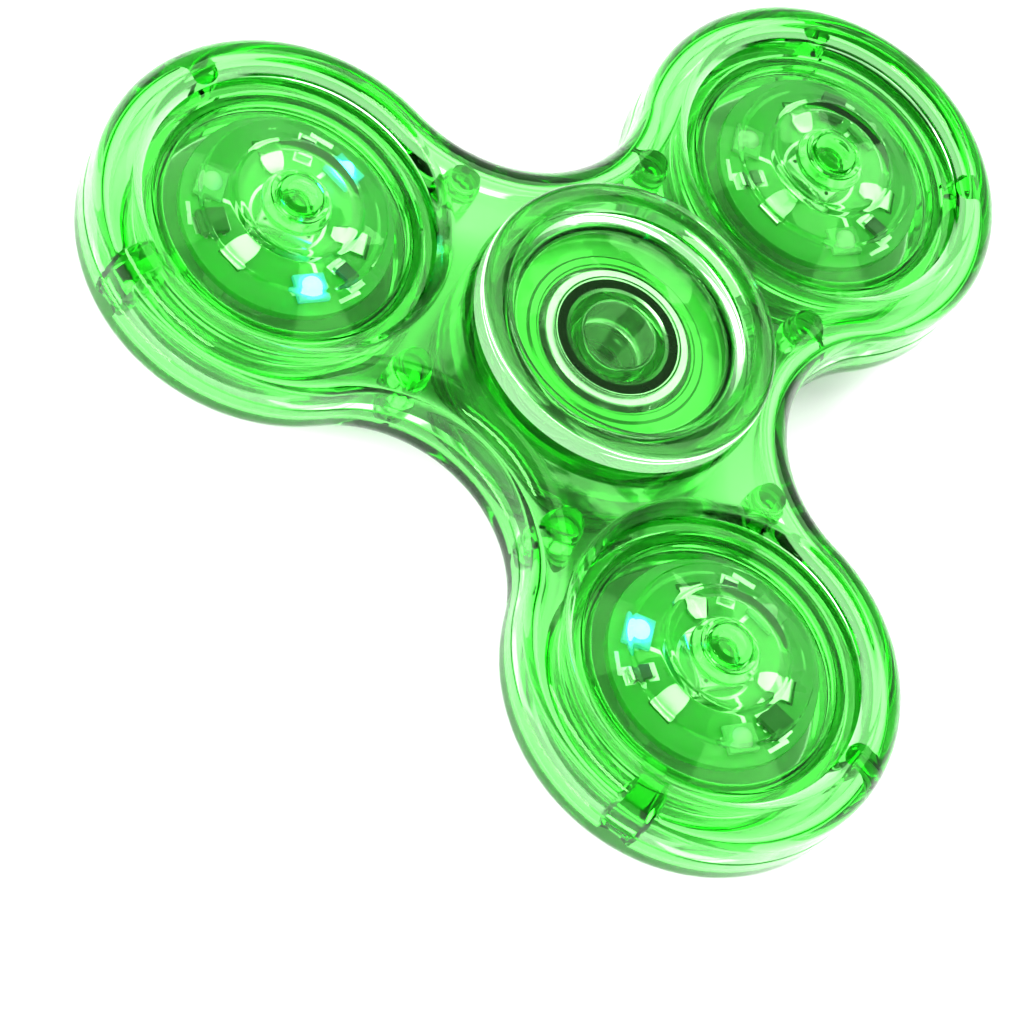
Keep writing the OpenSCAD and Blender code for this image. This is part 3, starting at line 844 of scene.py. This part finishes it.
for k in POD_NUMBERS:
    place = pod_place(k)
    mesh_piece(f"board_{k}", board_mesh(), MASK, "rotor", (f"pod_board_{k}",), place)
    mesh_piece(f"tracks_{k}", tracks_mesh(), TIN, "rotor", (), place)
    mesh_piece(f"battery_clip_{k}", clip_mesh(), SPRING, "rotor", (f"pod_clip_{k}",), place)
    mesh_piece(f"coin_cells_{k}", cells_mesh(), NICKEL, "rotor", (f"pod_cells_{k}",), place)
    mesh_piece(f"tact_switch_{k}", switch_mesh(), TIN, "rotor", (f"pod_switch_{k}",), place)
    housings = joined([led_housing(i) for i in range(3) if i not in LIT[k]])
    mesh_piece(f"led_housings_{k}", housings, LED_HOUSING, "rotor", (f"pod_leds_{k}",), place)
    if LIT[k]:
        # Housings of the lit LEDs carry the painted glow.
        painted_glow_parts = joined([led_housing(i) for i in LIT[k]])
        mesh_piece(f"painted_glow_housings_{k}", painted_glow_parts, PAINTED_GLOW_HOUSING, "rotor", (), place)
    for i in range(3):
        material = LED_LIT if i in LIT[k] else LED_DARK
        mesh_piece(f"led_dome_{k}_{i}", led_dome(i), material, "rotor", (), place)
    body, legs = chip_mesh()
    mesh_piece(f"control_chip_{k}", body, EPOXY, "rotor", (f"pod_chip_{k}",), place)
    mesh_piece(f"chip_legs_{k}", legs, TIN, "rotor", (), place)
    bodies, ends = resistor_meshes()
    resistors = (f"pod_resistors_{k}",)
    mesh_piece(f"resistor_bodies_{k}", bodies, CERAMIC, "rotor", resistors, place)
    mesh_piece(f"resistor_ends_{k}", ends, TIN, "rotor", (), place)


# ---------------------------------------------------------------- bearing

BORE_RADIUS = 4.0
PITCH_RADIUS = (BEARING_RADIUS + BORE_RADIUS) / 2
BALL_COUNT = 7
BALL_RADIUS = 1.984
RACE_GAP = 0.04
RACE_RADIUS = BALL_RADIUS + RACE_GAP
RING_CHAMFER = 0.3
INNER_BREAK = 0.1
SHIELD_STEP = 0.7
SHIELD_SHEET = 0.3
SHIELD_BORE_GAP = 0.35
SHIELD_RIM = 0.69
BEAD_HEIGHT = 0.15
INNER_LAND = PITCH_RADIUS - 0.73 * BALL_RADIUS
OUTER_LAND = PITCH_RADIUS + 0.66 * BALL_RADIUS
SHIELD_Z = span("bearing_shield_top")[0].z - MID


def race(land, side, steps=14):
    """Points of a ring's ball groove, from low to high. side is 1 in the outer ring, -1 in the inner."""
    reach = abs(land - PITCH_RADIUS)
    half = math.acos(reach / RACE_RADIUS)
    points = []
    for s in range(steps + 1):
        a = half * (2 * s / steps - 1)
        points.append((PITCH_RADIUS + side * RACE_RADIUS * math.cos(a), RACE_RADIUS * math.sin(a)))
    return points


def ring_piece(name, node, profile, material, body):
    mesh = moved(lathe(profile, 192), z=MID)
    return mesh_piece(name, mesh, material, body, (node,))


def outer_ring_profile():
    h, r, chamfer = HALF_BEARING, BEARING_RADIUS, RING_CHAMFER
    seat = OUTER_LAND + SHIELD_STEP
    return [
        (r, -h + chamfer), (r, h - chamfer), (r - chamfer, h),
        (seat, h), (seat, SHIELD_Z), (OUTER_LAND, SHIELD_Z),
        *race(OUTER_LAND, 1)[::-1],
        (OUTER_LAND, -SHIELD_Z), (seat, -SHIELD_Z), (seat, -h), (r - chamfer, -h),
    ]


def inner_ring_profile():
    h, bore, chamfer = HALF_BEARING, BORE_RADIUS, RING_CHAMFER
    return [
        (bore, h - chamfer), (bore, -h + chamfer), (bore + chamfer, -h),
        (INNER_LAND - INNER_BREAK, -h), (INNER_LAND, -h + INNER_BREAK),
        *race(INNER_LAND, -1),
        (INNER_LAND, h - INNER_BREAK), (INNER_LAND - INNER_BREAK, h), (bore + chamfer, h),
    ]


def balls_mesh():
    parts = []
    for k in range(BALL_COUNT):
        ball = bmesh.new()
        bmesh.ops.create_uvsphere(ball, u_segments=48, v_segments=32, radius=BALL_RADIUS)
        parts.append(turned(moved(ball, PITCH_RADIUS), TAU * k / BALL_COUNT))
    return moved(joined(parts), z=MID)


def shield_mesh(side):
    """A pressed shield with a rolled bead near its bore and a curled outer edge."""
    inner, outer = INNER_LAND + SHIELD_BORE_GAP, OUTER_LAND + SHIELD_RIM
    low, high = SHIELD_Z, SHIELD_Z + SHIELD_SHEET
    bead = high + BEAD_HEIGHT
    profile = [
        (inner, low), (inner + 0.95, low), (inner + 1.15, low + 0.1), (outer - 0.7, low + 0.1),
        (outer - 0.55, low), (outer, low), (outer, high), (outer - 0.45, high), (outer - 0.65, high - 0.08),
        (inner + 1.05, high - 0.08), (inner + 0.85, bead), (inner + 0.3, bead), (inner + 0.2, high),
        (inner, high),
    ]
    points = [(r, side * z) for r, z in rounded(profile, 0.08, 3)]
    return moved(lathe(points, 192), z=MID)


# The outer ring takes the darkened steel, which is painted shade.
ring_piece("outer_race_ring", "bearing_outer_ring", outer_ring_profile(), PAINTED_SHADE_STEEL, "rotor")
ring_piece("inner_race_ring", "bearing_inner_ring", inner_ring_profile(), STEEL, "hub")
mesh_piece("steel_balls", balls_mesh(), CHROME, "ball_set", ("bearing_balls",))
mesh_piece("upper_shield", shield_mesh(1), SHIELD, "rotor", ("bearing_shield_top",))
mesh_piece("lower_shield", shield_mesh(-1), SHIELD, "rotor", ("bearing_shield_bottom",))
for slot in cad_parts["bearing_cage"].material_slots:
    slot.material = NYLON


# ---------------------------------------------------------------- floor, light and camera

CAMERA_AZIMUTH = math.radians(-81.5)
CAMERA_ELEVATION = math.radians(55.0)
CAMERA_ROLL = math.radians(39.4)
CAMERA_DISTANCE = 0.375
CAMERA_TARGET = Vector((4.7, -15.9, MID)) * MM
CAMERA_LENS = 172.2
HUB = Vector((0, 0, MID)) * MM
FLOOR_HALF = 3.0
PAPER_DARK = (0.93, 0.93, 0.93)
PAPER_LIGHT = (0.95, 0.95, 0.95)
SKY_BRIGHT_SIDE = (0.4, 0.7, 0.6)
SKY_DARK = 0.42
SKY_BRIGHT = 1.05
BOUNCES = 20


def away_vector(azimuth, elevation):
    """The unit vector that points away from the object at these angles, in radians."""
    flat = math.cos(elevation)
    return Vector((math.cos(azimuth) * flat, math.sin(azimuth) * flat, math.sin(elevation)))


def floor():
    data = bpy.data.meshes.new("floor")
    corners = [(x * FLOOR_HALF, y * FLOOR_HALF, 0) for x, y in ((-1, -1), (1, -1), (1, 1), (-1, 1))]
    data.from_pydata(corners, [], [(0, 1, 2, 3)])
    thing = bpy.data.objects.new("floor", data)
    bpy.context.scene.collection.objects.link(thing)
    m = Nodes("floor_paper")
    m.set(Roughness=0.6)
    m.link(m.ramp(m.noise(6, 3), (0.3, PAPER_DARK), (0.7, PAPER_LIGHT)), m.shader.inputs["Base Color"])
    data.materials.append(m.material)


def softbox(name, centre, towards, size, radiance):
    """A soft box at centre that faces towards a point, its width level."""
    lamp = bpy.data.lights.new(name, "AREA")
    lamp.shape = "RECTANGLE"
    lamp.size, lamp.size_y = size
    lamp.energy = radiance * math.pi * size[0] * size[1]
    thing = bpy.data.objects.new(name, lamp)
    bpy.context.scene.collection.objects.link(thing)
    thing.location = centre
    thing.rotation_mode = "QUATERNION"
    thing.rotation_quaternion = (centre - towards).to_track_quat("Z", "Y")
    return thing


def mirrored_box(name, left, right, near, far, radiance, distance=0.6):
    """A soft box that level faces mirror to the camera over this stretch of x and y, in millimetres."""
    sight = away_vector(CAMERA_AZIMUTH, CAMERA_ELEVATION)
    mirror = Vector((-sight.x, -sight.y, sight.z))
    grow = (CAMERA_DISTANCE + distance) / CAMERA_DISTANCE
    across = Vector((0, 0, 1)).cross(mirror).normalized() * -1
    drop = across.cross(mirror) * -1
    if drop.y < 0:
        drop = -drop
    width = (right - left) * MM * grow
    height = (far - near) * MM * mirror.z * grow
    middle = across * ((left + right) / 2 * MM * grow) + drop * ((near + far) / 2 * MM * mirror.z * grow)
    centre = HUB + mirror * distance + middle
    softbox(name, centre, centre - mirror, (width, height), radiance)


def side_box(name, azimuth, elevation, distance, size, radiance):
    away = away_vector(math.radians(azimuth), math.radians(elevation))
    softbox(name, HUB + away * distance, HUB, size, radiance)


def studio_sky():
    """A plain surround that is brighter above and behind the object than in front of it."""
    world = bpy.data.worlds.new("studio")
    bpy.context.scene.world = world
    world.use_nodes = True
    tree = world.node_tree
    back = tree.nodes["Background"]
    back.inputs["Color"].default_value = (1, 1, 1, 1)
    coords = tree.nodes.new("ShaderNodeTexCoord")
    facing = tree.nodes.new("ShaderNodeVectorMath")
    facing.operation = "DOT_PRODUCT"
    facing.inputs[1].default_value = Vector(SKY_BRIGHT_SIDE).normalized()
    ramp = tree.nodes.new("ShaderNodeMapRange")
    ramp.inputs["From Min"].default_value = -0.6
    ramp.inputs["From Max"].default_value = 0.5
    ramp.inputs["To Min"].default_value = SKY_DARK
    ramp.inputs["To Max"].default_value = SKY_BRIGHT
    tree.links.new(coords.outputs["Generated"], facing.inputs[0])
    tree.links.new(facing.outputs["Value"], ramp.inputs["Value"])
    tree.links.new(ramp.outputs["Result"], back.inputs["Strength"])


def camera():
    away = away_vector(CAMERA_AZIMUTH, CAMERA_ELEVATION)
    data = bpy.data.cameras.new("camera")
    data.lens = CAMERA_LENS
    data.clip_start, data.clip_end = 0.02, 20
    thing = bpy.data.objects.new("camera", data)
    bpy.context.scene.collection.objects.link(thing)
    turn = away.to_track_quat("Z", "Y").to_matrix().to_4x4() @ Matrix.Rotation(CAMERA_ROLL, 4, "Z")
    thing.matrix_world = Matrix.Translation(CAMERA_TARGET + away * CAMERA_DISTANCE) @ turn
    bpy.context.scene.camera = thing


floor()
studio_sky()
mirrored_box("window_left", -90, -10, -150, 90, 5.0)
mirrored_box("window_right", 10, 90, -150, 90, 5.0)
mirrored_box("window_middle", -3, 9, -3, 0, 9.0)
side_box("front_strip", -104, 34, 0.6, (0.6, 0.12), 30.0)
side_box("side_left", 175, 50, 0.7, (0.4, 0.4), 2.0)
side_box("side_right", 5, 50, 0.7, (0.4, 0.4), 3.0)
camera()

scene = bpy.context.scene
scene.view_settings.view_transform = "Standard"
scene.cycles.max_bounces = BOUNCES
scene.cycles.transmission_bounces = BOUNCES
scene.cycles.glossy_bounces = 6
scene.cycles.diffuse_bounces = 4
scene.cycles.transparent_max_bounces = 16
scene.cycles.use_denoising = True
